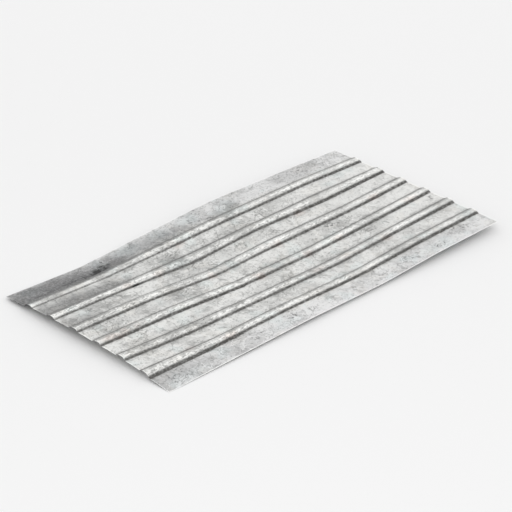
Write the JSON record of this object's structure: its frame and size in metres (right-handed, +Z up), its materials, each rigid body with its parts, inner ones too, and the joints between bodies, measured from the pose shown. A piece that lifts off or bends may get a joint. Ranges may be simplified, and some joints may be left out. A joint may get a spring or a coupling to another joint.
{
  "type": "roof panel",
  "caption": "Galvanised steel roof sheet with parallel trapezoidal ribs between flat pans, slightly bent out of true, for covering a roof or a wall.",
  "frame": {"origin": "on the floor under the middle of the sheet's plan", "axes": "+X along the ribs, towards the straight end; +Y across the ribs, towards the edge that swells up; +Z up from the floor"},
  "size_m": [2, 1, 0.0511],
  "materials": {
    "galvanised_steel": "weathered matt zinc with a fine spangle"
  },
  "bodies": {
    "root": {"roof_sheet": "galvanised_steel"}
  },
  "joints": []
}
